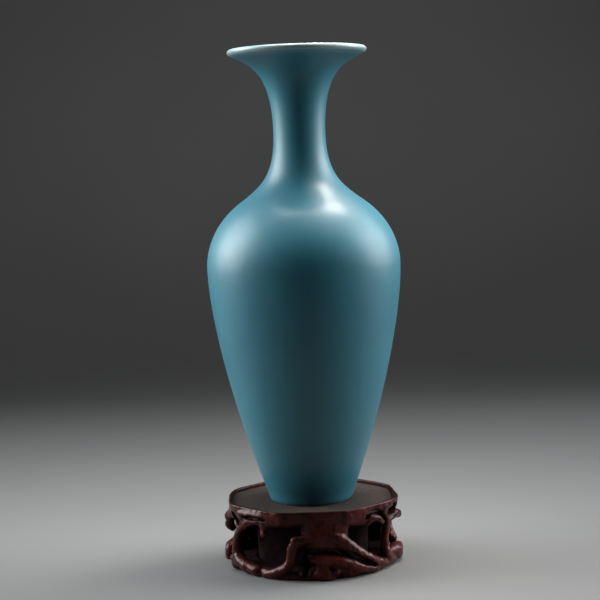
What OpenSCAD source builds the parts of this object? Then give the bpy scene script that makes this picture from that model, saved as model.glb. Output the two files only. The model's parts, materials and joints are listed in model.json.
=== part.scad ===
// Porcelain baluster vase with a flared mouth, standing loose on a carved root-wood stand.
// Millimetres, +Z up. The origin is the centre of the stand's underside, and the front is -Y.

/* [Vase] */
// Height of the vase from its foot to the top of the lip
vase_h = 360; // [340:1:380]
// Largest radius of the lip
mouth_r = 55; // [50:0.5:60]
// Radius of the neck at its waist
neck_r = 20.6; // [18:0.1:24]
// Largest radius of the shoulder
shoulder_r = 77; // [72:0.5:82]
// Radius of the body where it turns in above the foot
heel_r = 35.6; // [33:0.1:38]
// Outer radius of the bare foot rim
foot_r = 31.2; // [29:0.1:32]
// Inner radius of the foot rim
foot_well_r = 26; // [22:0.5:27]
// Depth of the hollow inside the foot rim
foot_well_depth = 4; // [3:0.5:6]
// Height of the inside floor above the foot
floor_z = 10; // [9:0.5:12]
// Radius of the rounded lip
lip_r = 2.3; // [2:0.1:2.6]
// Thickness of the fired glaze
glaze_t = 0.5; // [0.4:0.1:0.6]
// Height of the bare foot rim below the glaze
bare_h = 0.6; // [0.4:0.1:2]

/* [Stand] */
// Height of the stand to the top of its rim
stand_h = 54; // [50:1:60]
// Thickness of the rim frame
rim_h = 7; // [6:0.5:8]
// Depth of the seat below the top of the rim
seat_depth = 3; // [2:0.5:4]
// Radius of the rim's rounded corners
rim_corner_r = 70; // [68:0.5:72]
// Distance from the middle to a flat side of the rim
rim_flat_r = 67; // [65:0.5:68]
// Width of the rim around the seat
rim_w = 2.6; // [2:0.1:4]
// Depth of the arched apron under the rim
apron_h = 10; // [7:0.5:12]
// Height of the base ring
base_ring_h = 7; // [6:0.5:9]
// Number of sides of a carved root's section
root_sides = 14; // [10:2:16]
// Rings of a carved root between two of its stations
root_steps = 5; // [4:1:6]

/* [Hidden] */

glaze_colour = [0.10, 0.36, 0.43];
white_glaze_colour = [0.88, 0.91, 0.90];
clay_colour = [0.86, 0.84, 0.79];
wood_colour = [0.23, 0.06, 0.05];
seat_colour = [0.27, 0.17, 0.15];

round_fn = 96;
arch_fn = 48;
curve_steps = 14;
lip_steps = 12;
far = 200; // larger than the whole object
seat_z = stand_h - seat_depth;
rim_z = stand_h - rim_h;
apron_z = rim_z - apron_h;

// Heights of the vase's stations above its foot
heel_z = 9;
shoulder_z = 0.522 * vase_h;
turn_z = 0.664 * vase_h;
waist_z = 0.817 * vase_h;
turn_r = neck_r + 0.516 * (shoulder_r - neck_r);
turn_slope = 1.38; // radius lost for each millimetre of height where shoulder turns to neck
heel_slope = 0.37; // radius gained for each millimetre of height above the heel
lip_slope = 1.8;   // radius gained for each millimetre of height under the lip

// Where the separately thrown sections of the clay are joined
lower_seam_z = 118;
upper_seam_z = 238;
mouth_seam_z = 330;

// Wall thickness, glaze included, at heights above the foot
wall_at = [[0, 6], [40, 4.6], [188, 3.8], [294, 3.4], [340, 3.8], [vase_h - 2 * lip_r, 2 * lip_r]];

// ---- Curves -------------------------------------------------------------------------------------

// A cubic curve's points, without its last one
function cubic(a, b, c, d, steps) = [
    for (i = [0 : steps - 1])
        let (t = i / steps, s = 1 - t)
        s * s * s * a + 3 * s * s * t * b + 3 * s * t * t * c + t * t * t * d
];

// Unit normal on the right-hand side of a line at its point i
function side(line, i) =
    let (
        last = len(line) - 1,
        along = line[min(i + 1, last)] - line[max(i - 1, 0)]
    )
    [along.y, -along.x] / norm(along);

// The line moved to its right by a distance
function moved(line, distance) = [for (i = [0 : len(line) - 1]) line[i] + distance * side(line, i)];

function reversed(line) = [for (i = [len(line) - 1 : -1 : 0]) line[i]];

function arc(centre, r, from, to, steps) = [
    for (i = [0 : steps])
        let (a = from + (to - from) * i / steps)
        centre + r * [cos(a), sin(a)]
];

// ---- The vase's lines, as [radius, height above its foot] -----------------------------------------

lip_turn = -atan(lip_slope); // angle on the round lip where its underside starts
lip_centre = [mouth_r - lip_r, vase_h - lip_r];
lip_start = lip_centre + lip_r * [cos(lip_turn), sin(lip_turn)];
glaze_foot = [foot_r + 1.3, bare_h];

outer_line = concat(
    cubic(glaze_foot, glaze_foot + [1.6, 2], [heel_r - 3.2 * heel_slope, heel_z - 3.2],
          [heel_r, heel_z], 6),
    cubic([heel_r, heel_z], [heel_r + 80 * heel_slope, heel_z + 80],
          [shoulder_r, shoulder_z - 30], [shoulder_r, shoulder_z], curve_steps + 6),
    cubic([shoulder_r, shoulder_z], [shoulder_r, shoulder_z + 25],
          [turn_r + 9 * turn_slope, turn_z - 9], [turn_r, turn_z], curve_steps),
    cubic([turn_r, turn_z], [turn_r - 12.5 * turn_slope, turn_z + 12.5],
          [neck_r, waist_z - 34], [neck_r, waist_z], curve_steps),
    cubic([neck_r, waist_z], [neck_r, waist_z + 52],
          lip_start - [13, 13 / lip_slope], lip_start, curve_steps + 2),
    [lip_start]
);

// The inside of the wall follows the outside, from above the floor up to the lip
lip_end = lip_centre - (lip_start - lip_centre);
inner_wall = concat(
    [
        for (i = [0 : len(outer_line) - 2])
            if (outer_line[i].y > floor_z + 8)
                outer_line[i] - lookup(outer_line[i].y, wall_at) * side(outer_line, i)
    ],
    [lip_end]
);
inner_line = concat(
    [[0, floor_z]],
    cubic([0.55 * heel_r, floor_z], [0.8 * heel_r, floor_z], inner_wall[0] - [2.5, 5],
          inner_wall[0], 6),
    inner_wall
);
lip_line = arc(lip_centre, lip_r, lip_turn, lip_turn + 180, lip_steps);
lip_clay = arc(lip_centre, lip_r - glaze_t, lip_turn, lip_turn + 180, lip_steps);

well_z = foot_well_depth + glaze_t;

clay_outline = concat(
    [[foot_well_r, 0], [foot_r, 0], [glaze_foot.x - glaze_t, bare_h]],
    moved(outer_line, -glaze_t),
    lip_clay,
    reversed(moved(inner_line, glaze_t)),
    [[0, well_z], [foot_well_r, well_z]]
);

// ---- The vase's solids --------------------------------------------------------------------------

module turned(outline) {
    translate([0, 0, seat_z])
        rotate_extrude($fn = round_fn)
            polygon(outline);
}

// The clay between two heights above the foot
module clay_section(from, to) {
    color(clay_colour)
        intersection() {
            turned(clay_outline);
            translate([0, 0, seat_z + from])
                cylinder(h = to - from, r = far, $fn = round_fn);
        }
}

module lower_body() clay_section(0, lower_seam_z);
module upper_body() clay_section(lower_seam_z, upper_seam_z);
module neck() clay_section(upper_seam_z, mouth_seam_z);
module mouth() clay_section(mouth_seam_z, vase_h);

module outer_glaze() {
    color(glaze_colour)
        turned(concat(outer_line, reversed(moved(outer_line, -glaze_t))));
}

module lip_glaze() {
    color(white_glaze_colour)
        turned(concat(lip_line, reversed(lip_clay)));
}

module inner_glaze() {
    color(white_glaze_colour)
        turned(concat(inner_line, reversed(moved(inner_line, glaze_t))));
}

module foot_well_glaze() {
    color(white_glaze_colour)
        translate([0, 0, seat_z + foot_well_depth])
            cylinder(h = glaze_t, r = foot_well_r, $fn = round_fn);
}

// ---- The stand's turned and sawn parts ----------------------------------------------------------

// An eight-sided block with rounded corners and a flat side to the front
module eight_sided(flat_r, corner_r, h) {
    intersection() {
        rotate([0, 0, 22.5])
            cylinder(h = h, r = flat_r / cos(22.5), $fn = 8);
        cylinder(h = h, r = corner_r, $fn = round_fn);
    }
}

module seat_block(h) eight_sided(rim_flat_r - rim_w, rim_corner_r - rim_w, h);

module seat_panel() {
    color(seat_colour)
        translate([0, 0, rim_z])
            seat_block(rim_h - seat_depth);
}

// The turned shape that rounds the rim's edge and draws it in towards the apron
module rim_envelope() {
    rotate_extrude($fn = round_fn)
        polygon(concat(
            [[0, rim_z]],
            cubic([rim_corner_r - 4, rim_z], [rim_corner_r - 3.5, rim_z + 2],
                  [rim_corner_r, rim_z + 2], [rim_corner_r, stand_h - 1.5], 6),
            [[rim_corner_r, stand_h - 1], [rim_corner_r - 1, stand_h], [0, stand_h]]
        ));
}

module rim_frame() {
    color(wood_colour)
        difference() {
            intersection() {
                translate([0, 0, rim_z])
                    eight_sided(rim_flat_r, rim_corner_r, rim_h);
                rim_envelope();
            }
            translate([0, 0, rim_z - 1])
                seat_block(rim_h + 2);
        }
}

// Places its children at an azimuth, counted from the front towards +X
module at_azimuth(azimuth) {
    rotate([0, 0, azimuth - 90])
        children();
}

// A wedge of space about the axis, between two azimuths and two heights
module wedge(from, to, low, high) {
    middle = (from + to) / 2;
    translate([0, 0, low])
        linear_extrude(high - low)
            polygon([
                [0, 0], far * [sin(from), -cos(from)],
                far * [sin(middle), -cos(middle)], far * [sin(to), -cos(to)]
            ]);
}

// The arches through the apron, as [azimuth, radius of the arch, height of its crown]
arches = [
    [-76, 7.5, 46], [-39, 20, 41], [52, 7, 46], [78, 7.5, 46],
    [115, 9, 45], [148, 16, 42], [214, 16, 42], [244, 8, 46]
];
apron_outer_r = 65;
apron_inner_r = 52;
arch_start_r = 46; // where the cutting of an arch starts, clear of its neighbours
arch_end_r = 72;

module apron() {
    color(wood_colour)
        difference() {
            translate([0, 0, apron_z])
                cylinder(h = apron_h, r = apron_outer_r, $fn = round_fn);
            translate([0, 0, apron_z - 1])
                cylinder(h = apron_h + 2, r = apron_inner_r, $fn = round_fn);
            for (arch = arches)
                at_azimuth(arch[0])
                    translate([arch_start_r, 0, arch[2] - arch[1]])
                        rotate([0, 90, 0])
                            cylinder(h = arch_end_r - arch_start_r, r = arch[1], $fn = arch_fn);
        }
}

// The uncarved heartwood behind the openwork
core_outer_r = 45;
core_inner_r = 39;

module stand_core() {
    color(wood_colour)
        difference() {
            cylinder(h = rim_z, r = core_outer_r, $fn = round_fn);
            translate([0, 0, -1])
                cylinder(h = rim_z + 2, r = core_inner_r, $fn = round_fn);
        }
}

base_outer_r = 66;
base_inner_r = core_outer_r + 1;
// Azimuths of the feet, which part the front rail from the back one
left_foot_from = -113;
left_foot_to = -98;
right_foot_from = 75;
right_foot_to = 90;

module base_ring_form() {
    rotate_extrude($fn = round_fn)
        polygon([
            [base_inner_r, 0], [base_outer_r - 1, 0], [base_outer_r, 1.5],
            [base_outer_r, base_ring_h - 2.5], [base_outer_r - 2.5, base_ring_h],
            [base_inner_r + 2, base_ring_h], [base_inner_r, base_ring_h - 2]
        ]);
}

module front_base_rail() {
    color(wood_colour)
        intersection() {
            base_ring_form();
            wedge(left_foot_to, right_foot_from, -1, base_ring_h + 1);
        }
}

module back_base_rail() {
    color(wood_colour)
        intersection() {
            base_ring_form();
            wedge(right_foot_to, 360 + left_foot_from, -1, base_ring_h + 1);
        }
}

// ---- Carved roots -------------------------------------------------------------------------------
// A root is a list of stations [azimuth, distance from the axis, height, half width, half depth].
// Azimuth is counted from the front towards +X, the width runs round the stand and the depth outwards.

foot_top = 14; // height where a side root becomes its foot

front_trunk_path = [
    [6, 59, 46, 19, 7], [6, 59, 38, 18, 7], [6, 60, 30, 17, 7.5],
    [7, 61, 22, 15, 7.5], [10, 61.5, 14, 11, 7], [12, 61, 3, 10, 7]
];
front_left_path = [
    [-2, 59, 38, 6, 6], [-10, 62.5, 34, 6, 6], [-16, 64.5, 27, 5.5, 5.5],
    [-18, 65, 18, 5.5, 5], [-24, 63.5, 9, 6.5, 5], [-31, 61, 2, 6.5, 4.5]
];
front_right_path = [
    [16, 59, 39, 6, 6], [26, 63, 34, 6, 6], [34, 64.5, 26, 5.5, 5],
    [43, 65, 19.5, 5, 5], [51, 64.5, 14, 5, 5], [59, 63, 6, 5.5, 5], [63, 62, -1, 5.5, 4.5]
];
front_lower_path = [
    [12, 60, 18.5, 6, 5], [20, 62.5, 16.5, 5.5, 4.5], [30, 63.5, 12, 5, 4.5],
    [39, 63, 7, 5, 4.5], [46, 62, 1, 5, 4.5]
];
left_path = [
    [-56, 59, 46, 8, 6], [-61, 62, 38, 7, 5.5], [-69, 64.5, 30, 5, 5],
    [-71, 65.5, 21, 5.5, 5.5], [-66, 65, 12, 9, 6.5], [-60, 63, 3, 12, 7]
];
left_burl_path = [
    [-80, 59, 43, 5.5, 5.5], [-84, 64, 38.5, 6.5, 6.5], [-88, 66, 33, 6, 6],
    [-91, 65, 28, 5, 5.5], [-93, 61, 25, 3, 3.5]
];
left_side_path = [
    [-104, 59, 46, 6, 6], [-109, 60.5, 37, 5, 5], [-113, 61, 28, 5, 5],
    [-112, 63, 19, 5.5, 5.5], [-106, 66, 12, 7.5, 6.5], [-105, 66, 5, 9, 6.5], [-105, 66, -3, 9, 6]
];
right_path = [
    [61, 59, 46, 6, 6], [61, 62, 38, 5, 5], [62, 64, 30, 4.5, 4.5],
    [63, 65, 23, 4.5, 4.5], [69, 65, 14, 5.5, 5.5], [74, 62, 4, 8, 6]
];
right_burl_path = [
    [78, 59, 43, 5.5, 5.5], [82, 63, 39, 5.5, 5.5], [87, 66, 35.5, 5, 5.5], [92, 68, 33, 4.5, 4.5]
];
right_side_path = [
    [101, 59, 46, 7, 6], [99, 61, 37, 5, 5], [100, 62, 28, 4.5, 4.5],
    [97, 63, 20, 5, 5], [88, 65, 13, 7, 6.5], [83, 66, 6, 9, 6.5], [82, 66, -3, 9, 6]
];
right_rear_path = [
    [99, 60, 31, 4.5, 4.5], [110, 62.5, 27.5, 5, 5], [124, 64, 17, 5, 5],
    [131, 63, 9, 5.5, 5], [136, 61, 2, 6, 5]
];
back_trunk_path = [
    [180, 59, 46, 15, 7], [181, 59, 38, 13, 7], [183, 60, 29, 10, 7],
    [180, 61, 20, 10, 7.5], [177, 61, 12, 11, 7], [177, 61, 3, 12, 7]
];
back_left_path = [
    [184, 59, 38, 5, 5], [197, 62, 34, 5, 5], [209, 64.5, 27, 4.5, 4.5],
    [220, 65, 19, 4.5, 4.5], [231, 64, 10, 5, 4.5], [238, 61, 2, 5, 4]
];
back_right_path = [
    [178, 59, 37, 5, 5], [166, 62, 33, 5, 5], [157, 64.5, 25, 4.5, 4.5],
    [153, 65, 16, 4.5, 4.5], [147, 63, 8, 5, 4.5], [142, 61, 2, 5, 4]
];

// A smooth curve through the stations, each with all five of its values
function through(stations, steps) =
    let (last = len(stations) - 1)
    concat(
        [
            for (i = [0 : last - 1], k = [0 : steps - 1])
                let (
                    t = k / steps,
                    before = stations[max(i - 1, 0)],
                    a = stations[i],
                    b = stations[i + 1],
                    after = stations[min(i + 2, last)]
                )
                a + 0.5 * t * (b - before)
                  + t * t * (before - 2.5 * a + 2 * b - 0.5 * after)
                  + t * t * t * (1.5 * (a - b) + 0.5 * (after - before))
        ],
        [stations[last]]
    );

function outwards(station) = [sin(station[0]), -cos(station[0]), 0];
function place(station) = station[1] * outwards(station) + [0, 0, station[2]];
function unit(v) = v / norm(v);

// The points round a root's section at ring i
function section_ring(ring, i) =
    let (
        last = len(ring) - 1,
        along = unit(place(ring[min(i + 1, last)]) - place(ring[max(i - 1, 0)])),
        across = unit(cross(along, outwards(ring[i]))),
        out = cross(across, along)
    )
    [
        for (k = [0 : root_sides - 1])
            let (a = 360 * k / root_sides)
            place(ring[i]) + ring[i][4] * cos(a) * out + ring[i][3] * sin(a) * across
    ];

module root_form(stations) {
    rings = through(stations, root_steps);
    count = len(rings);
    points = [for (i = [0 : count - 1]) each section_ring(rings, i)];
    walls = [
        for (i = [0 : count - 2], k = [0 : root_sides - 1])
            let (
                near = i * root_sides,
                next = (k + 1) % root_sides
            )
            each [
                [near + k, near + next, near + root_sides + next],
                [near + k, near + root_sides + next, near + root_sides + k]
            ]
    ];
    first_end = [for (k = [root_sides - 1 : -1 : 0]) k];
    last_end = [for (k = [0 : root_sides - 1]) (count - 1) * root_sides + k];
    polyhedron(points = points, faces = concat([first_end], walls, [last_end]));
}

// The part of a root between two azimuths and two heights
module root(stations, from, to, low = base_ring_h, high = apron_z) {
    color(wood_colour)
        intersection() {
            root_form(stations);
            wedge(from, to, low, high);
        }
}

front_trunk_from = -8;
front_trunk_to = 21;
back_trunk_from = 173;
back_trunk_to = 190;
right_rear_from = 103;

module front_trunk_root() root(front_trunk_path, front_trunk_from, front_trunk_to);
module front_left_root() root(front_left_path, -60, front_trunk_from);
module front_right_root() root(front_right_path, front_trunk_to, 62.5);
module front_lower_root() root(front_lower_path, front_trunk_to, 60);
module left_root() root(left_path, -90, -30);
module left_burl() root(left_burl_path, -97, -70);
module left_side_root() root(left_side_path, -130, -60, foot_top);
module left_foot() root(left_side_path, left_foot_from, left_foot_to, 0, foot_top);
module right_root() root(right_path, 40, right_foot_from);
module right_burl() root(right_burl_path, 60, 92.5);
module right_side_root() root(right_side_path, 60, right_rear_from, foot_top);
module right_foot() root(right_side_path, right_foot_from, right_foot_to, 0, foot_top);
module right_rear_root() root(right_rear_path, right_rear_from, 160);
module back_trunk_root() root(back_trunk_path, back_trunk_from, back_trunk_to);
module back_left_root() root(back_left_path, back_trunk_to, 260);
module back_right_root() root(back_right_path, 120, back_trunk_from);

lower_body();
upper_body();
neck();
mouth();
outer_glaze();
lip_glaze();
inner_glaze();
foot_well_glaze();
seat_panel();
rim_frame();
apron();
stand_core();
front_base_rail();
back_base_rail();
front_trunk_root();
front_left_root();
front_right_root();
front_lower_root();
left_root();
left_burl();
left_side_root();
left_foot();
right_root();
right_burl();
right_side_root();
right_foot();
right_rear_root();
back_trunk_root();
back_left_root();
back_right_root();
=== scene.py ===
import json
import math

import bpy
import numpy as np
from mathutils import Matrix, Vector


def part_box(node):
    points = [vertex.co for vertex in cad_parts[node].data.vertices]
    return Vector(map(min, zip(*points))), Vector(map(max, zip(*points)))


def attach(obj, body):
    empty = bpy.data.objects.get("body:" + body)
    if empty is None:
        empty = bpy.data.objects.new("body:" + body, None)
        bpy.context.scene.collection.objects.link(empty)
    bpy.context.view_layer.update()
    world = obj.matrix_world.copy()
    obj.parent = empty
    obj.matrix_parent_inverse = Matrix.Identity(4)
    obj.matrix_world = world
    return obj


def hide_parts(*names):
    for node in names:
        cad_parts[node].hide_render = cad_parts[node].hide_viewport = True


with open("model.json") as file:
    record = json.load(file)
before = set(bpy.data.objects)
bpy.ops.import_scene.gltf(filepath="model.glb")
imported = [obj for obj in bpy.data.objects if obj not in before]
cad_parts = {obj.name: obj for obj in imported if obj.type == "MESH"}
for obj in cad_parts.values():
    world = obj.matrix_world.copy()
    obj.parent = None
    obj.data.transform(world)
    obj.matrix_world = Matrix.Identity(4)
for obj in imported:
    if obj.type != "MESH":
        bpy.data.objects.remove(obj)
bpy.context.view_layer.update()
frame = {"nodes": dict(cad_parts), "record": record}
MM = 0.001

# ---- Camera: long lens, a little above the stand's seat, leaning a touch to one side ---------------

CAMERA_DISTANCE = 1.234
CAMERA_HEIGHT = 0.3246
CAMERA_PITCH = math.radians(5.23)
CAMERA_ROLL = math.radians(1.96)
CAMERA_LENS = 92.95
CAMERA_SIDE = -0.004

camera_data = bpy.data.cameras.new("camera")
camera_data.lens = CAMERA_LENS
camera_data.sensor_width = 36
camera_data.clip_start = 0.05
camera = bpy.data.objects.new("camera", camera_data)
bpy.context.collection.objects.link(camera)
bpy.context.scene.camera = camera
look = Matrix.Rotation(math.radians(90) - CAMERA_PITCH, 4, "X") @ Matrix.Rotation(-CAMERA_ROLL, 4, "Z")
camera.matrix_world = Matrix.Translation((CAMERA_SIDE, -CAMERA_DISTANCE, CAMERA_HEIGHT)) @ look

# ---- Sizes shared with the CAD, in millimetres -----------------------------------------------------

SEAT_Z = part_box("seat_panel")[1][2] / MM
STAND_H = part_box("rim_frame")[1][2] / MM
VASE_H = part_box("lip_glaze")[1][2] / MM - SEAT_Z
MOUTH_R = 55
NECK_R = 20.6
SHOULDER_R = 77
HEEL_R = 35.6
HEEL_Z = 9
FOOT_R = 31.2
FLOOR_Z = 10
LIP_R = 2.3
GLAZE_T = 0.5
BARE_H = 0.6
AXIS_R = 0.01  # where a turned skin ends beside the axis
RIM_FLAT_R = 67
RIM_CORNER_R = 70
RIM_W = 2.6
WALL_AT = ((0, 6), (40, 4.6), (188, 3.8), (294, 3.4), (340, 3.8), (VASE_H - 2 * LIP_R, 2 * LIP_R))


# ---- Mesh helpers ----------------------------------------------------------------------------------

TURNED_SIDES = 256


def add_object(name, vertices, faces, material, body, slot):
    """A smooth mesh that rides on a body, or on none as part of the studio."""
    mesh = bpy.data.meshes.new(name)
    mesh.from_pydata([tuple(v) for v in vertices], [], [tuple(f) for f in faces])
    mesh.validate()
    mesh.update()
    mesh.polygons.foreach_set("use_smooth", [True] * len(mesh.polygons))
    mesh.materials.append(material)
    piece = bpy.data.objects.new(name, mesh)
    bpy.context.collection.objects.link(piece)
    if body:
        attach(piece, body)
    return piece


def turned(outline):
    """Vertices and faces of a closed outline of [radius, height] in mm, turned about the axis."""
    outline = np.array(outline)
    angles = np.linspace(0, 2 * math.pi, TURNED_SIDES, endpoint=False)
    rings = np.stack(
        [
            outline[None, :, 0] * np.cos(angles)[:, None],
            outline[None, :, 0] * np.sin(angles)[:, None],
            np.broadcast_to(outline[None, :, 1] + SEAT_Z, (TURNED_SIDES, len(outline))),
        ],
        axis=-1,
    )
    count = len(outline)
    faces = []
    for i in range(TURNED_SIDES):
        j = (i + 1) % TURNED_SIDES
        for k in range(count):
            m = (k + 1) % count
            faces.append((i * count + k, j * count + k, j * count + m, i * count + m))
    return rings.reshape(-1, 3) * MM, faces


# ---- The vase's lines ------------------------------------------------------------------------------


def cubic(a, b, c, d, steps):
    """A cubic curve's points, without its last one."""
    t = np.linspace(0, 1, steps, endpoint=False)[:, None]
    s = 1 - t
    a, b, c, d = (np.array(p, float) for p in (a, b, c, d))
    return s**3 * a + 3 * s * s * t * b + 3 * s * t * t * c + t**3 * d


def sides(line):
    """Unit normals on the right-hand side of a line."""
    along = np.gradient(line, axis=0)
    along /= np.linalg.norm(along, axis=1)[:, None]
    return np.stack([along[:, 1], -along[:, 0]], axis=1)


def arc(centre, r, start, end, steps):
    a = np.radians(np.linspace(start, end, steps + 1))
    return np.array(centre) + r * np.stack([np.cos(a), np.sin(a)], axis=1)


SHOULDER_Z = 0.522 * VASE_H
TURN_Z = 0.664 * VASE_H
WAIST_Z = 0.817 * VASE_H
TURN_R = NECK_R + 0.516 * (SHOULDER_R - NECK_R)
TURN_SLOPE = 1.38
HEEL_SLOPE = 0.37
LIP_SLOPE = 1.8
LIP_TURN = -math.degrees(math.atan(LIP_SLOPE))
LIP_CENTRE = (MOUTH_R - LIP_R, VASE_H - LIP_R)
lip_start = arc(LIP_CENTRE, LIP_R, LIP_TURN, LIP_TURN, 0)[0]
glaze_foot = np.array([FOOT_R + 1.3, BARE_H])

# From the foot up: a place on the outer line, the radius gained there for each mm of height, how far the
# curve's handles reach down and up from it, and the number of steps to the next place
OUTER_STATIONS = [
    (glaze_foot, 0.8, 0, 2, 14),
    ((HEEL_R, HEEL_Z), HEEL_SLOPE, 3.2, 80, 70),
    ((SHOULDER_R, SHOULDER_Z), 0, 30, 25, 40),
    ((TURN_R, TURN_Z), -TURN_SLOPE, 9, 12.5, 40),
    ((NECK_R, WAIST_Z), 0, 34, 52, 50),
    (lip_start, LIP_SLOPE, 13 / LIP_SLOPE, 0, 0),
]


def curve_through(stations):
    pieces = []
    for (a, slope_a, _, up, steps), (b, slope_b, down, _, _) in zip(stations, stations[1:]):
        handle_a = np.array(a) + [up * slope_a, up]
        handle_b = np.array(b) - [down * slope_b, down]
        pieces.append(cubic(a, handle_a, handle_b, b, steps))
    pieces.append([stations[-1][0]])
    return np.concatenate(pieces)


outer_line = curve_through(OUTER_STATIONS)
outer_sides = sides(outer_line)
wall = np.interp(outer_line[:, 1], *zip(*WALL_AT))
# The inside follows the outside, from a little above the floor that curves up into it
above_floor = outer_line[:, 1] > FLOOR_Z + 8
inner_wall = (outer_line - wall[:, None] * outer_sides)[above_floor]
inner_line = np.concatenate(
    [
        [(AXIS_R, FLOOR_Z)],
        cubic(
            (0.55 * HEEL_R, FLOOR_Z),
            (0.8 * HEEL_R, FLOOR_Z),
            inner_wall[0] - [2.5, 5],
            inner_wall[0],
            14,
        ),
        inner_wall,
    ]
)
lip_line = arc(LIP_CENTRE, LIP_R, LIP_TURN, LIP_TURN + 180, 24)


def skin(line, way):
    """A closed outline of the glaze's thickness, on the line's right with way 1 and left with way -1."""
    return np.concatenate([line, (line + way * GLAZE_T * sides(line))[::-1]])


# ---- Materials -------------------------------------------------------------------------------------


def new_material(name):
    material = bpy.data.materials.new(name)
    material.use_nodes = True
    tree = material.node_tree
    return material, tree, tree.nodes["Principled BSDF"]


def position(tree):
    return tree.nodes.new("ShaderNodeTexCoord").outputs["Object"]


def noise(tree, vector, scale, detail=4.0, roughness=0.5, distortion=0.0):
    node = tree.nodes.new("ShaderNodeTexNoise")
    node.inputs["Scale"].default_value = scale
    node.inputs["Detail"].default_value = detail
    node.inputs["Roughness"].default_value = roughness
    node.inputs["Distortion"].default_value = distortion
    tree.links.new(vector, node.inputs["Vector"])
    return node.outputs["Fac"]


def ramp(tree, value, *stops):
    node = tree.nodes.new("ShaderNodeValToRGB")
    elements = node.color_ramp.elements
    while len(elements) < len(stops):
        elements.new(0.5)
    for element, (place, colour) in zip(elements, stops):
        element.position = place
        element.color = (*colour, 1)
    tree.links.new(value, node.inputs["Fac"])
    return node.outputs["Color"]


def grey(*stops):
    return [(place, (value, value, value)) for place, value in stops]


def mixed(tree, blend, factor, a, b):
    node = tree.nodes.new("ShaderNodeMix")
    node.data_type = "RGBA"
    node.blend_type = blend
    node.clamp_factor = True
    for socket, value in (("Factor", factor), ("A", a), ("B", b)):
        target = next(s for s in node.inputs if s.name == socket and s.enabled)
        if isinstance(value, (int, float)):
            target.default_value = value if socket == "Factor" else (value, value, value, 1)
        else:
            tree.links.new(value, target)
    return next(s for s in node.outputs if s.enabled)


def height_between(tree, vector, low, high):
    """0 at the lower height and 1 at the upper one, in metres."""
    split = tree.nodes.new("ShaderNodeSeparateXYZ")
    tree.links.new(vector, split.inputs["Vector"])
    node = tree.nodes.new("ShaderNodeMapRange")
    node.inputs["From Min"].default_value = low
    node.inputs["From Max"].default_value = high
    tree.links.new(split.outputs["Z"], node.inputs["Value"])
    return node.outputs["Result"]


def stretched(tree, vector, scale, turn=(0, 0, 0)):
    node = tree.nodes.new("ShaderNodeMapping")
    node.inputs["Scale"].default_value = scale
    node.inputs["Rotation"].default_value = turn
    tree.links.new(vector, node.inputs["Vector"])
    return node.outputs["Vector"]


def roughen(tree, shader, pattern, *stops):
    """Sets the roughness from a pattern and stops of (place, value)."""
    tree.links.new(ramp(tree, pattern, *grey(*stops)), shader.inputs["Roughness"])


def bump(tree, shader, height, distance):
    """Adds a bump to those that the shader has already."""
    node = tree.nodes.new("ShaderNodeBump")
    node.inputs["Distance"].default_value = distance
    tree.links.new(height, node.inputs["Height"])
    previous = shader.inputs["Normal"].links
    if previous:
        tree.links.new(previous[0].from_socket, node.inputs["Normal"])
    tree.links.new(node.outputs["Normal"], shader.inputs["Normal"])


def turquoise_glaze():
    material, tree, shader = new_material("turquoise_glaze")
    at = position(tree)
    cloud = noise(tree, at, 14, 3)
    body = ramp(tree, cloud, (0.3, (0.015, 0.119, 0.164)), (0.7, (0.019, 0.146, 0.196)))
    top = (SEAT_Z + VASE_H) * MM
    edge = ramp(
        tree,
        height_between(tree, at, top - 0.018, top - 0.003),
        *grey((0.0, 0.0), (0.70, 0.03), (0.88, 0.16), (1.0, 0.75)),
    )
    pale = tree.nodes.new("ShaderNodeRGB")
    pale.outputs[0].default_value = (0.62, 0.74, 0.74, 1)
    thin = mixed(tree, "MIX", edge, body, pale.outputs[0])
    # The glaze is painted darker towards the foot, as painted shade on the lower body
    painted_foot_shade = ramp(tree, height_between(tree, at, 0.06, 0.25), *grey((0.0, 0.78), (1.0, 1.0)))
    foot_shaded = mixed(tree, "MULTIPLY", 1.0, thin, painted_foot_shade)
    # Pin-sized darker specks
    specks = ramp(tree, noise(tree, at, 900, 2, 0.6), *grey((0.30, 0.86), (0.42, 1.0)))
    colour = mixed(tree, "MULTIPLY", 1.0, foot_shaded, specks)
    tree.links.new(colour, shader.inputs["Base Color"])
    roughen(tree, shader, noise(tree, at, 60, 4), (0.35, 0.49), (0.7, 0.55))
    shader.inputs["IOR"].default_value = 1.44
    shader.inputs["Coat Weight"].default_value = 0.2
    shader.inputs["Coat Roughness"].default_value = 0.25
    bump(tree, shader, noise(tree, at, 420, 3, 0.55), 0.00005)
    bump(tree, shader, noise(tree, at, 22, 2), 0.0005)
    return material


def pale_glaze(name, low, high):
    material, tree, shader = new_material(name)
    at = position(tree)
    colour = ramp(tree, noise(tree, at, 30, 3), (0.3, low), (0.7, high))
    tree.links.new(colour, shader.inputs["Base Color"])
    roughen(tree, shader, noise(tree, at, 80), (0.3, 0.28), (0.7, 0.38))
    bump(tree, shader, noise(tree, at, 350, 3), 0.00005)
    return material


def biscuit():
    material, tree, shader = new_material("biscuit")
    at = position(tree)
    colour = ramp(
        tree,
        noise(tree, at, 120, 5, 0.65),
        (0.3, (0.52, 0.46, 0.38)),
        (0.55, (0.66, 0.62, 0.54)),
        (0.8, (0.72, 0.69, 0.62)),
    )
    tree.links.new(colour, shader.inputs["Base Color"])
    roughen(tree, shader, noise(tree, at, 300), (0.3, 0.65), (0.7, 0.85))
    bump(tree, shader, noise(tree, at, 900, 4, 0.7), 0.0001)
    return material


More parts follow.
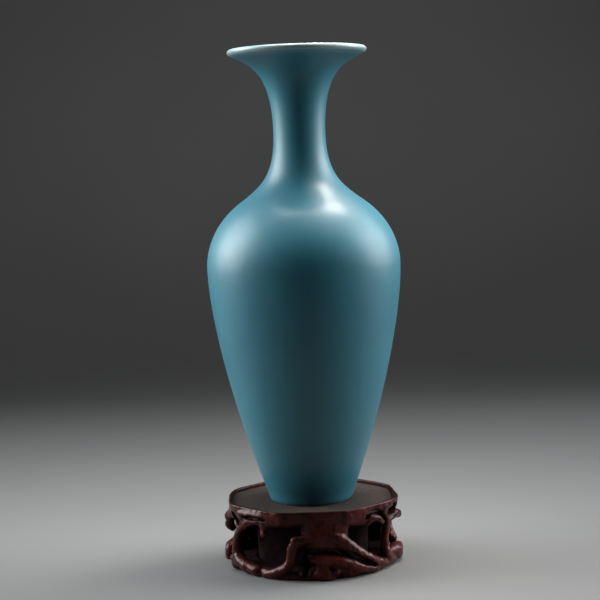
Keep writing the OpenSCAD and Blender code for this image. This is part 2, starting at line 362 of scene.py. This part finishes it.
def carved_wood():
    material, tree, shader = new_material("carved_wood")
    at = position(tree)
    # Grain that runs up and down, a little aslant
    grain = noise(tree, stretched(tree, at, (1, 1, 0.22), (0.25, 0.1, 0)), 240, 5, 0.6, 0.6)
    broad = noise(tree, at, 42, 4, 0.55, 0.4)
    dark = ramp(
        tree,
        broad,
        (0.30, (0.014, 0.003, 0.003)),
        (0.60, (0.058, 0.009, 0.007)),
        (0.85, (0.120, 0.026, 0.015)),
    )
    lines = ramp(tree, grain, *grey((0.32, 0.45), (0.55, 1.0), (0.75, 1.35)))
    veined = mixed(tree, "MULTIPLY", 1.0, dark, lines)
    # Sheltered places are painted dark, as painted shade, and have lost their polish
    hollow = tree.nodes.new("ShaderNodeAttribute")
    hollow.attribute_name = "hollow"
    depth = ramp(tree, hollow.outputs["Fac"], *grey((0.0, 0.0), (0.5, 0.55), (1.0, 0.95)))
    painted_shade = tree.nodes.new("ShaderNodeRGB")
    painted_shade.outputs[0].default_value = (0.010, 0.006, 0.007, 1)
    colour = mixed(tree, "MIX", depth, veined, painted_shade.outputs[0])
    tree.links.new(colour, shader.inputs["Base Color"])
    wear = mixed(tree, "ADD", 0.5, noise(tree, at, 90, 3), hollow.outputs["Fac"])
    roughen(tree, shader, wear, (0.3, 0.22), (1.0, 0.55))
    shader.inputs["IOR"].default_value = 1.5
    shader.inputs["Specular Tint"].default_value = (1.0, 0.62, 0.55, 1)
    bare = ramp(tree, hollow.outputs["Fac"], *grey((0.0, 1.0), (0.5, 0.45), (1.0, 0.02)))
    tree.links.new(mixed(tree, "MULTIPLY", 1.0, bare, 0.11), shader.inputs["Coat Weight"])
    tree.links.new(mixed(tree, "MULTIPLY", 1.0, bare, 0.12), shader.inputs["Specular IOR Level"])
    shader.inputs["Coat Roughness"].default_value = 0.14
    shader.inputs["Coat Tint"].default_value = (1.0, 0.80, 0.76, 1)
    bump(tree, shader, grain, 0.00022)
    bump(tree, shader, noise(tree, at, 170, 3, 0.5), 0.0009)
    return material


def seat_wood():
    material, tree, shader = new_material("seat_wood")
    at = position(tree)
    cloud = noise(tree, at, 34, 4, 0.6)
    mottled = ramp(tree, cloud, (0.3, (0.016, 0.010, 0.008)), (0.7, (0.030, 0.019, 0.016)))
    fine = ramp(
        tree,
        noise(tree, at, 1150, 2, 0.75),
        (0.34, (0.35, 0.28, 0.26)),
        (0.52, (1, 1, 1)),
        (0.66, (2.2, 1.9, 1.7)),
    )
    tree.links.new(mixed(tree, "MULTIPLY", 1.0, mottled, fine), shader.inputs["Base Color"])
    roughen(tree, shader, noise(tree, at, 500, 3), (0.3, 0.62), (0.7, 0.85))
    shader.inputs["Specular IOR Level"].default_value = 0.3
    bump(tree, shader, noise(tree, at, 900, 3, 0.7), 0.00035)
    bump(tree, shader, noise(tree, at, 120, 3), 0.0005)
    return material


GLAZE = turquoise_glaze()
WHITE = pale_glaze("white_glaze", (0.31, 0.34, 0.34), (0.37, 0.39, 0.385))
LIP = pale_glaze("lip_glaze", (0.22, 0.31, 0.32), (0.27, 0.36, 0.36))
BISCUIT = biscuit()
WOOD = carved_wood()
SEAT = seat_wood()

# ---- The vase --------------------------------------------------------------------------------------

outside = add_object("vase_outside", *turned(skin(outer_line, -1)), GLAZE, "vase", "turquoise_glaze")
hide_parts("outer_glaze")
lip_skin = np.concatenate([lip_line, arc(LIP_CENTRE, LIP_R - GLAZE_T, LIP_TURN + 180, LIP_TURN, 24)])
lip = add_object("vase_lip", *turned(lip_skin), LIP, "vase", "white_glaze")
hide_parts("lip_glaze")
lining = add_object("vase_lining", *turned(skin(inner_line, 1)), WHITE, "vase", "white_glaze")
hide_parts("inner_glaze")

for name, material in (
    ("lower_body", BISCUIT),
    ("upper_body", BISCUIT),
    ("neck", BISCUIT),
    ("mouth", BISCUIT),
    ("foot_well_glaze", WHITE),
    ("seat_panel", SEAT),
):
    node = frame["nodes"][name]
    node.data.materials.clear()
    node.data.materials.append(material)

# ---- The carved stand, as one field of distances ---------------------------------------------------
# Roots are lists of (azimuth, distance outside the wall's middle, height, width radius, depth radius).
# Azimuth is counted in degrees from the front towards +X, all else is in millimetres.

WALL_R = 62
CORE_R = 42
CORE_T = 5
STAND_HALF_W = 72.3
INSIDE_R = 62.5
INSIDE_FADE = 5
HOLLOW_REACHES = (2.0, 4.0, 7.0)
PANEL_LOW_Z = 47
RAIL_IN = 7.2
RAIL_HALF_W = 8.2
RAIL_MID_Z = 3.2
RAIL_HALF_H = 1.4
RAIL_ROUND = 2.0
APRON_OUT = 0.4
APRON_HALF_T = 3.4
APRON_LOW_Z = 40.5
APRON_TOP_Z = 50
RIM_LOW_Z = 42
RIM_INNER_R = 54
RIM_ROLL_Z = 49.5
RIM_ROLL_H = 10
RIM_ROLL_IN = 4.2
SWELL_OUT = 2.2
SWELL_AZIMUTH = 80
SWELL_WIDTH = 14
ROOTS = {
    "front_left": [
        (4, 2.0, 34, 4.5, 4.5), (-5, 3.6, 32.8, 4.0, 4.4), (-11, 4.4, 30.2, 3.8, 4.4),
        (-14, 4.2, 26, 3.7, 4.2), (-15, 3.8, 21, 3.6, 4.0), (-16, 3.4, 15, 3.8, 4.0),
        (-20, 2.8, 9.5, 4.0, 4.0), (-27, 1.8, 5, 4.4, 4.0), (-36, 0.8, 3.4, 4.0, 4.0),
    ],
    "trunk": [
        (8.5, 0.2, 46, 18, 5.2), (8.5, 1.0, 38, 18, 5.2), (8, 1.8, 33, 15.5, 5.2),
        (7, 1.6, 28, 13, 5.0),
    ],
    "trunk_fill": [(6, 0.6, 28, 12, 4.8), (10, 0.0, 22, 9, 4.6)],
    "rim_lumps": [
        (-58, 4.2, 48, 3.4, 3.2), (-47, 3.4, 48.6, 3.6, 3.2), (-36, 3.6, 48.2, 3.6, 3.2),
        (-27, 3.0, 47.6, 3.0, 3.0),
    ],
    "leg": [(6, 1.8, 16, 5.0, 4.4), (6, 1.8, 10, 5.4, 4.5), (8, 1.4, 3, 8.0, 4.4)],
    "diagonal": [
        (8, 2.0, 36, 6.0, 4.8), (17, 3.0, 31.4, 5.8, 4.8), (24, 3.8, 25.0, 5.4, 4.8),
        (32, 4.2, 18.2, 4.8, 4.6), (40, 4.0, 12.8, 4.3, 4.4), (48, 3.4, 8.6, 3.9, 4.2),
        (57, 2.6, 5, 4.0, 4.0), (67, 1.4, 3.4, 4.2, 4.0),
    ],
    "lower_right": [
        (-3, 0.4, 16.4, 2.6, 3.4), (4, 2.6, 16.0, 3.6, 4.0), (13, 3.4, 15.2, 4.4, 4.6),
        (21, 3.6, 12.6, 5.0, 4.6), (28, 3.4, 9.4, 5.0, 4.6), (35, 3.0, 6.2, 4.5, 4.4),
        (44, 2.4, 3.8, 4.0, 4.2), (54, 1.6, 3.2, 4.0, 4.0),
    ],
    "lower_fill": [(13, 1.4, 8, 5.5, 4.6), (22, 1.4, 6, 5.0, 4.6), (30, 1.2, 4, 4.0, 4.4)],
    "left_strand": [
        (-44, 1.0, 45, 4.2, 4.0), (-52, 2.2, 41.6, 3.8, 4.0), (-58.5, 3.2, 36.5, 3.4, 3.8),
        (-63.5, 3.6, 30, 3.4, 3.8), (-67, 3.4, 23, 3.6, 3.8), (-68, 3.2, 16, 4.2, 4.2),
        (-64.5, 3.0, 10, 5.0, 4.6), (-56, 2.4, 6.4, 4.8, 4.4), (-44, 1.4, 4.6, 4.2, 4.0),
    ],
    "left_back": [(-73, -1.8, 45, 9, 3.0), (-74, -1.8, 36, 8.5, 3.0), (-75, -2.4, 28, 5, 3.0)],
    "left_heel": [(-66, 3.0, 8.5, 4.8, 4.6), (-70, 3.2, 5, 4.8, 4.4)],
    "pendant": [(-36, 0.6, 45, 4.4, 4.0), (-36.5, 1.4, 39, 3.2, 3.4), (-36, 2.0, 35, 3.0, 3.2)],
    "left_burl": [
        (-76, 1.0, 46, 4.6, 4.5), (-83, 3.2, 42, 3.8, 4.2), (-88, 5.0, 38.6, 3.6, 3.9),
        (-90, 4.2, 35, 2.6, 3.0),
    ],
    "left_knob": [(-89, 3.6, 35, 2.8, 3.2), (-92, 5.2, 31, 3.8, 4.0), (-93, 3.0, 27.6, 3.0, 3.2)],
    "left_side": [
        (-103, 0.0, 46, 5.6, 5.0), (-109, -0.6, 37, 4.6, 4.4), (-114, -0.6, 28, 4.4, 4.2),
        (-113, -0.6, 20, 4.2, 4.2), (-108, 2.2, 13.5, 4.8, 4.8), (-102, 6.0, 8, 6.6, 6.2),
        (-102, 5.8, 3, 6.6, 6.2),
    ],
    "right_strand": [
        (62, 1.0, 46, 4.2, 4.0), (63.5, 2.4, 39, 3.6, 3.6), (62, 3.2, 31, 3.2, 3.6),
        (59.5, 3.6, 24, 3.2, 3.6), (59, 3.8, 17, 3.8, 4.0), (62, 3.0, 10, 4.6, 4.4),
        (69, 2.2, 5, 5.0, 4.4), (78, 1.6, 3.4, 5.0, 4.2),
    ],
    "eyelet": [
        (40, 1.8, 40, 2.6, 3.0), (44, 3.4, 42.8, 2.7, 3.2), (49.5, 3.8, 42.6, 2.7, 3.2),
        (56, 2.8, 38, 2.6, 3.0),
    ],
    "right_burl": [
        (70, 2.4, 42.4, 3.0, 3.4), (76, 4.8, 40.6, 3.0, 3.3), (82, 6.6, 38.4, 3.1, 3.2),
        (86, 7.2, 36.2, 2.9, 3.1),
    ],
    "right_burl_root": [(66, 2.2, 36, 3.0, 3.2), (74, 4.0, 38, 2.6, 3.0), (82, 6.0, 37, 2.4, 2.8)],
    "right_side": [
        (100, 0.0, 46, 5.4, 5.0), (98, 0.4, 37, 3.8, 3.8), (99, 0.2, 29, 3.2, 3.4),
        (98, 0.4, 22, 3.4, 3.6), (93, 1.6, 15, 4.6, 4.4),
    ],
    "right_foot": [
        (68, 2.4, 11, 3.8, 4.0), (75, 4.0, 10, 5.4, 5.2), (82, 5.4, 8, 6.6, 6.2),
        (87, 5.8, 7, 6.4, 6.0), (90, 4.6, 3, 6.0, 5.6),
    ],
    "right_rear": [
        (102, 0.6, 30, 4.2, 4.0), (113, 2.0, 26, 4.6, 4.4), (123, 2.4, 18, 4.8, 4.4),
        (131, 1.8, 10, 5.2, 4.4), (139, 0.4, 4, 5.4, 4.2),
    ],
    "left_web": [(232, -4.0, 34, 9, 3.0), (235, -4.0, 22, 9, 3.0), (236, -4.0, 12, 8, 3.0)],
    "rear_web": [(119, -0.4, 39, 9, 3.6), (121, -0.4, 26, 9.5, 3.6), (123, -0.4, 12, 10, 3.6)],
    "back_trunk": [
        (180, 0.2, 42, 12, 4.6), (182, 0.8, 31, 9.5, 4.8), (180, 1.2, 19, 9.0, 5.0),
        (177, 1.2, 9, 10, 5.0), (177, 0.8, 3, 12, 4.8),
    ],
    "back_left": [
        (184, 1.8, 41, 5.2, 4.4), (197, 2.6, 35.5, 5.2, 4.4), (209, 3.0, 28, 4.8, 4.2),
        (220, 3.0, 20, 4.8, 4.2), (231, 2.2, 10.5, 5.2, 4.4), (240, 0.8, 4.5, 5.4, 4.2),
    ],
    "back_right": [
        (176, 1.8, 40, 5.2, 4.4), (165, 2.6, 34, 5.2, 4.4), (157, 3.0, 25.5, 4.8, 4.2),
        (153, 2.8, 16.5, 4.8, 4.2), (147, 1.8, 8.5, 5.2, 4.4), (140, 0.4, 3.5, 5.2, 4.2),
    ],
    "back_lower": [
        (184, 1.4, 20, 4.6, 4.2), (196, 2.6, 17, 4.6, 4.2), (207, 2.6, 11, 4.6, 4.2),
        (217, 1.4, 5, 5.0, 4.2),
    ],
    "back_branch": [
        (216, 2.0, 40, 5.0, 4.2), (226, 2.4, 32, 4.4, 4.2), (236, 2.4, 24, 4.4, 4.2),
        (245, 1.4, 15, 4.8, 4.2), (250, 0.4, 5, 5.4, 4.2),
    ],
    "rear_branch": [
        (146, 1.6, 41, 5.0, 4.2), (138, 2.4, 33, 4.4, 4.2), (133, 2.4, 25, 4.4, 4.2),
        (131, 2.0, 16, 4.6, 4.2),
    ],
}
# Knobs, as (azimuth, distance outside the wall's middle, height, radius)
KNOBS = [
    (-12, 6.2, 32.4, 3.0),
    (58, 5.6, 14.4, 3.0),
    (-36, 2.6, 34.4, 2.8),
    (14.5, 6.4, 6.4, 1.9),
    (-70, 5.4, 9.5, 3.2),
]
KNOB_BLEND = 1.4
# Cuts, as a distance outside the wall's middle where the cut ends and a line of (azimuth, height, radius)
THROUGH = -20
CUT_BLEND = 1.2
CUT_TAPER = 0.10
CUTS = [
    (-1.0, [(-67, 43, 4.6), (-69, 38, 4.8)]),
    (THROUGH, [(66, 45, 4.2), (73, 45.4, 4.0)]),
    (-1.5, [(40, 44.5, 1.1), (42, 47.2, 1.3), (47.5, 48, 1.4), (53.5, 45.6, 1.3), (57.5, 41, 1.2)]),
    (-1.0, [(-5, 23.2, 2.0), (4, 23.4, 2.2), (13, 22.4, 2.0), (20, 20.8, 1.6)]),
    (THROUGH, [(19, 21.4, 1.0), (26, 18.4, 1.3), (33, 13.4, 1.4), (40, 9, 1.2), (45, 6.4, 0.7)]),
    (THROUGH, [(-6, 15, 3.0), (-6, 10, 4.0), (-7, 6.4, 3.6)]),
    (2.5, [(-53, 46, 0.9), (-44, 46.4, 1.1), (-34, 46.8, 0.8)]),
    (3.5, [(11.5, 9, 1.2), (12.2, 8.6, 1.0)]),
    (THROUGH, [(112, 43, 3.0), (122, 42, 3.6)]),
    (THROUGH, [(236, 43, 3.2), (247, 42, 3.6)]),
]
# The grid that the carved stand is worked out on
VOXEL = 0.8
GRID_HALF_W = 75
GRID_MARGIN = 2.5
GRID_INNER_R = 35
GRID_OUTER_R = 76
FAR = 30.0
PATH_STEPS = 6
SOFTEN = 1.3  # radius of the blends between carved members


def smooth_min(a, b, k):
    h = np.clip(0.5 + 0.5 * (b - a) / k, 0, 1)
    return b + (a - b) * h - k * h * (1 - h)


def smooth_max(a, b, k):
    return -smooth_min(-a, -b, k)


def smooth_path(stations):
    """Points on a smooth curve through the stations, with every value carried along."""
    s = np.array(stations, float)
    last = len(s) - 1
    out = []
    for i in range(last):
        p, a, b, q = s[max(i - 1, 0)], s[i], s[i + 1], s[min(i + 2, last)]
        for t in np.linspace(0, 1, PATH_STEPS, endpoint=False):
            bend = t**2 * (p - 2.5 * a + 2 * b - 0.5 * q) + t**3 * (1.5 * (a - b) + 0.5 * (q - p))
            out.append(a + 0.5 * t * (b - p) + bend)
    out.append(s[last])
    return np.array(out)


def stroke_distance(points, path, radii, squeeze=1.0):
    """Distance to a chain of round cones, divided by how far the depth was stretched."""
    best = np.full(points.shape[0], 1e3, np.float32)
    for a, b, ra, rb in zip(path[:-1], path[1:], radii[:-1], radii[1:]):
        along = b - a
        length = float(along @ along)
        t = np.clip(((points - a) @ along) / max(length, 1e-6), 0, 1)
        near = points - (a + t[:, None] * along)
        np.minimum(best, np.sqrt((near * near).sum(1)) - (ra + t * (rb - ra)), out=best)
    return best / squeeze


def wobble(points, size, seed):
    """A smooth pattern between about -1 and 1, from a few fixed waves."""
    rng = np.random.default_rng(seed)
    total = np.zeros(points.shape[0], np.float32)
    for _ in range(7):
        direction = rng.normal(size=3)
        direction *= 2 * math.pi / (size * rng.uniform(0.7, 1.5) * np.linalg.norm(direction))
        total += np.sin(points @ direction.astype(np.float32) + rng.uniform(0, 6.28))
    return total / 4


class Grid:
    """The grid points near the stand's wall, by place and by azimuth round the wall."""

    def __init__(self):
        self.low = np.array([-GRID_HALF_W, -GRID_HALF_W, -GRID_MARGIN])
        high = np.array([GRID_HALF_W, GRID_HALF_W, STAND_H + GRID_MARGIN])
        self.shape = np.ceil((high - self.low) / VOXEL).astype(int)
        axes = [(a + VOXEL * np.arange(n)).astype(np.float32) for a, n in zip(self.low, self.shape)]
        x, y, z = (a.ravel() for a in np.meshgrid(*axes, indexing="ij"))
        radius = np.hypot(x, y)
        self.near = np.nonzero((radius > GRID_INNER_R) & (radius < GRID_OUTER_R))[0]
        self.x, self.y, self.z, self.radius = (v[self.near] for v in (x, y, z, radius))
        self.points = np.stack([self.x, self.y, self.z], 1)
        self.azimuth = np.degrees(np.arctan2(self.x, -self.y))
        self.out = self.radius - WALL_R
        self.arc_length = np.radians(self.azimuth) * WALL_R

    def wrapped(self, centre):
        """Arc length measured on the same side of the back seam as a place."""
        turn = 2 * math.pi * WALL_R
        return centre + (self.arc_length - centre + turn / 2) % turn - turn / 2

    def wave(self):
        """Height added to the lower edge of apron and rim."""
        slow = 1.3 * np.cos(np.radians(self.azimuth * 3 + 20))
        return slow + 0.8 * np.cos(np.radians(self.azimuth * 7))

    def across_flats(self):
        """Distance from the axis, measured square to the nearest of the rim's eight sides."""
        turns = [math.radians(45 * k) for k in range(8)]
        return np.maximum.reduce([self.x * math.sin(a) - self.y * math.cos(a) for a in turns])


def base_rails(grid):
    """A rounded square section that waves a little."""
    beside = np.maximum(np.abs(grid.out + RAIL_IN) - RAIL_HALF_W, 0)
    above = np.maximum(np.abs(grid.z - RAIL_MID_Z) - RAIL_HALF_H, 0)
    rail = np.hypot(beside, above) - RAIL_ROUND
    return rail - 0.5 * np.sin(grid.arc_length / 9.0) * np.sin(grid.z / 5.0)


def apron(grid):
    """A band under the rim with a waved lower edge."""
    lower_edge = APRON_LOW_Z + grid.wave() - grid.z
    band = smooth_max(np.abs(grid.out - APRON_OUT) - APRON_HALF_T, lower_edge, 3.0)
    return smooth_max(band, grid.z - APRON_TOP_Z, 1.0)


def core(grid):
    """The uncarved tube under the panel, its outside hacked into shallow hollows."""
    tube = np.abs(grid.radius - CORE_R) - CORE_T / 2 + 0.5 * wobble(grid.points, 16, 8)
    return np.maximum(tube, grid.z - PANEL_LOW_Z)


def rim(grid):
    """The eight-sided rim, which rolls down into the apron and swells at its right-hand corner."""
    swell = SWELL_OUT * np.exp(-(((grid.azimuth - SWELL_AZIMUTH) / SWELL_WIDTH) ** 2))
    outside = smooth_max(grid.across_flats() - RIM_FLAT_R, grid.radius - RIM_CORNER_R, 5.0)
    outside = outside - swell - 0.35 * wobble(grid.points, 15, 12)
    drawn = np.clip((RIM_ROLL_Z - grid.z) / RIM_ROLL_H, 0, 1)
    outside = outside + RIM_ROLL_IN * drawn * drawn
    ring = smooth_max(outside, RIM_LOW_Z + grid.wave() - grid.z, 3.0)
    return smooth_max(ring, RIM_INNER_R - grid.radius, 1.0)


def near_line(places, line, reach):
    """Indices of the places within reach of a line's box."""
    inside = (places > line.min(0) - reach) & (places < line.max(0) + reach)
    return np.nonzero(inside.all(1))[0]


def root(grid, stations):
    """Indices of the grid points near a root, and their distances to it."""
    path = smooth_path(stations)
    centre = float(np.radians(path[:, 0].mean()) * WALL_R)
    squeeze = float((path[:, 3] / path[:, 4]).mean())
    middle = np.stack([np.radians(path[:, 0]) * WALL_R, path[:, 1] * squeeze, path[:, 2]], 1)
    middle = middle.astype(np.float32)
    radii = path[:, 3].astype(np.float32)
    places = np.stack([grid.wrapped(centre), grid.out * squeeze, grid.z], 1).astype(np.float32)
    some = near_line(places, middle, float(path[:, 3].max()) + 8)
    return some, stroke_distance(places[some], middle, radii, max(squeeze, 1.0))


def knob(grid, azimuth, out, height, r):
    centre = math.radians(azimuth) * WALL_R
    beside = grid.wrapped(centre) - centre
    return np.sqrt(beside**2 + (grid.out - out) ** 2 + (grid.z - height) ** 2) - r


def cut(grid, end, stations):
    """Indices of the grid points near a cut, and their distances to it."""
    path = smooth_path(stations)
    centre = float(np.radians(path[:, 0].mean()) * WALL_R)
    middle = np.stack([np.radians(path[:, 0]) * WALL_R, path[:, 1]], 1).astype(np.float32)
    radii = path[:, 2].astype(np.float32)
    places = np.stack([grid.wrapped(centre), grid.z], 1).astype(np.float32)
    some = near_line(places, middle, float(path[:, 2].max()) + 6)
    distance = stroke_distance(places[some], middle, radii)
    out = grid.out[some]
    return some, smooth_max(distance - CUT_TAPER * np.maximum(out, 0), end - out, 1.0)


def trimmed(grid, solid):
    """The flat top and underside, the seat's hollow, and the stand's greatest width."""
    solid = smooth_max(solid, grid.z - STAND_H, 1.0)
    flat = grid.across_flats() - RIM_FLAT_R + RIM_W
    seat_edge = smooth_max(flat, grid.radius - RIM_CORNER_R + RIM_W, 4.0)
    solid = smooth_max(solid, -np.maximum(seat_edge, PANEL_LOW_Z - grid.z), 0.5)
    solid = np.maximum(solid, -grid.z)
    return smooth_max(solid, np.abs(grid.x) - STAND_HALF_W, 1.5)


def carved_field():
    """Signed distances in mm on a grid, and the grid's lowest corner."""
    grid = Grid()
    solid = smooth_min(base_rails(grid), apron(grid), SOFTEN)
    solid = np.minimum(solid, core(grid))
    for stations in ROOTS.values():
        some, distance = root(grid, stations)
        solid[some] = smooth_min(solid[some], distance, SOFTEN)
    for place in KNOBS:
        solid = smooth_min(solid, knob(grid, *place), KNOB_BLEND)
    solid = smooth_min(solid, rim(grid), SOFTEN)
    for end, stations in CUTS:
        some, distance = cut(grid, end, stations)
        solid[some] = smooth_max(solid[some], -distance, CUT_BLEND)
    solid = solid + 0.26 * wobble(grid.points, 9, 3) + 0.14 * wobble(grid.points, 4.2, 5)
    field = np.full(math.prod(grid.shape), FAR, np.float32)
    field[grid.near] = trimmed(grid, solid)
    return field.reshape(grid.shape), grid.low


def surface(field, low):
    """A closed quad mesh on the zero level of a grid of distances."""
    inside = field < 0
    cells = tuple(n - 1 for n in field.shape)
    total = np.zeros(cells + (3,), np.float32)
    count = np.zeros(cells, np.float32)
    corner = [(i, j, k) for i in (0, 1) for j in (0, 1) for k in (0, 1)]

    def view(array, c):
        return array[c[0] : c[0] + cells[0], c[1] : c[1] + cells[1], c[2] : c[2] + cells[2]]

    for a in corner:
        for axis in range(3):
            if a[axis]:
                continue
            b = tuple(v + (i == axis) for i, v in enumerate(a))
            crossing = view(inside, a) != view(inside, b)
            fa, fb = view(field, a)[crossing], view(field, b)[crossing]
            where = np.zeros((len(fa), 3), np.float32) + np.array(a, np.float32)
            where[:, axis] += fa / (fa - fb)
            total[crossing] += where
            count[crossing] += 1
    used = count > 0
    index = np.full(cells, -1, np.int64)
    index[used] = np.arange(int(used.sum()))
    vertices = (total[used] / count[used][:, None] + np.argwhere(used)) * VOXEL + low
    faces = []
    for axis in range(3):
        first, second = [i for i in range(3) if i != axis]
        here = [slice(1, n - 1) for n in field.shape]
        here[axis] = slice(0, field.shape[axis] - 1)
        there = list(here)
        there[axis] = slice(1, field.shape[axis])
        a, b = inside[tuple(here)], inside[tuple(there)]
        for crossing, flip in ((a & ~b, axis == 1), (~a & b, axis != 1)):
            at = np.argwhere(crossing)
            at[:, first] += 1
            at[:, second] += 1
            quad = []
            for df, ds in ((0, 0), (-1, 0), (-1, -1), (0, -1)):
                c = at.copy()
                c[:, first] += df
                c[:, second] += ds
                quad.append(index[c[:, 0], c[:, 1], c[:, 2]])
            quad = np.stack(quad, 1)
            faces.append(quad[:, ::-1] if flip else quad)
    return vertices, np.concatenate(faces)


def sampled(field, low, points):
    """The field's values at points, between the grid's own by straight lines."""
    g = np.clip((points - low) / VOXEL, 0, np.array(field.shape) - 1.001)
    i = g.astype(int)
    f = g - i
    value = 0
    for c in ((a, b, d) for a in (0, 1) for b in (0, 1) for d in (0, 1)):
        weight = np.prod([f[:, n] if c[n] else 1 - f[:, n] for n in range(3)], axis=0)
        value = value + weight * field[i[:, 0] + c[0], i[:, 1] + c[1], i[:, 2] + c[2]]
    return value


def carved_stand():
    """The carved wood as one mesh, with how sheltered each place is in its "hollow" attribute, which the
    wood's material turns into painted shade.
    """
    field, low = carved_field()
    vertices, faces = surface(field, low)
    vertices[:, 2] = np.clip(vertices[:, 2], 0, STAND_H)
    stand = add_object("carved_stand", vertices * MM, faces, WOOD, "stand", "carved_wood")
    normals = np.empty(len(vertices) * 3, np.float32)
    stand.data.vertex_normals.foreach_get("vector", normals)
    normals = normals.reshape(-1, 3)
    hollow = np.zeros(len(vertices))
    for reach in HOLLOW_REACHES:
        closed = 1 - sampled(field, low, vertices + reach * normals) / reach
        hollow += np.clip(closed, 0, 1.2) / len(HOLLOW_REACHES)
    # Inside the wall, under the panel, the hollow value is raised to full, so the wood there is painted
    # as deep shade
    painted_inside_shade = np.clip((INSIDE_R - np.hypot(vertices[:, 0], vertices[:, 1])) / INSIDE_FADE, 0, 1)
    under_panel = vertices[:, 2] < PANEL_LOW_Z + 0.5
    hollow = np.clip(np.maximum(hollow, painted_inside_shade * under_panel), 0, 1)
    attribute = stand.data.attributes.new("hollow", "FLOAT", "POINT")
    attribute.data.foreach_set("value", hollow.astype(np.float32))
    return stand


stand = carved_stand()
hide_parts(*[s["node"] for s in frame["record"]["subparts"] if s["material_slot"] == "carved_wood"])

# ---- Floor, backdrop and light, in metres ----------------------------------------------------------

FLOOR_FRONT_Y = -1.6
FLOOR_BACK_Y = 0.9
FLOOR_HALF_W = 2.6
CURVE_R = 0.6
BACKDROP_TOP_Z = 2.4
COOL = (0.93, 0.98, 1.0)
WARM = (1.0, 0.94, 0.88)
BELLY = (0, 0, 0.28)


def floor_material():
    material, tree, shader = new_material("studio_floor")
    at = position(tree)
    colour = ramp(tree, noise(tree, at, 3, 3), (0.3, (0.115, 0.115, 0.114)), (0.7, (0.125, 0.125, 0.124)))
    tree.links.new(colour, shader.inputs["Base Color"])
    shader.inputs["Roughness"].default_value = 0.7
    return material


def sweep():
    """A floor that curves up into a backdrop."""
    line = [(FLOOR_FRONT_Y, 0.0)]
    for a in np.linspace(0, math.pi / 2, 24):
        line.append((FLOOR_BACK_Y + CURVE_R * math.sin(a), CURVE_R - CURVE_R * math.cos(a)))
    line.append((FLOOR_BACK_Y + CURVE_R, BACKDROP_TOP_Z))
    vertices = [(x, y, z) for y, z in line for x in (-FLOOR_HALF_W, FLOOR_HALF_W)]
    faces = [(2 * i, 2 * i + 1, 2 * i + 3, 2 * i + 2) for i in range(len(line) - 1)]
    ground = add_object("studio_floor", vertices, faces, floor_material(), None, None)


def softbox(name, place, aim, width, height, power, spread, colour=(1, 1, 1)):
    light = bpy.data.lights.new(name, "AREA")
    light.shape = "RECTANGLE"
    light.size = width
    light.size_y = height
    light.energy = power
    light.color = colour
    light.spread = math.radians(spread)
    lamp = bpy.data.objects.new(name, light)
    bpy.context.collection.objects.link(lamp)
    way = Vector(aim) - Vector(place)
    lamp.matrix_world = Matrix.Translation(place) @ way.to_track_quat("-Z", "Y").to_matrix().to_4x4()


sweep()
for name, side, power in (("left_softbox", -1, 8.6), ("right_softbox", 1, 7.0)):
    softbox(name, (side, 0.20, 0.70), BELLY, 1.0, 1.16, power, 72, COOL)
softbox("top_softbox", (0.0, 0.12, 1.10), (0, 0, 0.25), 0.55, 0.45, 4.2, 90)
softbox("key_softbox", (0.29, 0.17, 0.96), (0.03, -0.04, 0.27), 0.30, 0.26, 1.1, 60, WARM)
softbox("backdrop_light", (0, 0.55, 1.5), (0, 1.5, 0.5), 1.6, 0.3, 3.5, 120)

world = bpy.data.worlds.new("studio")
bpy.context.scene.world = world
world.use_nodes = True
background = world.node_tree.nodes["Background"]
background.inputs["Color"].default_value = (0.55, 0.57, 0.60, 1)
background.inputs["Strength"].default_value = 0.08
bpy.context.scene.view_settings.view_transform = "Standard"
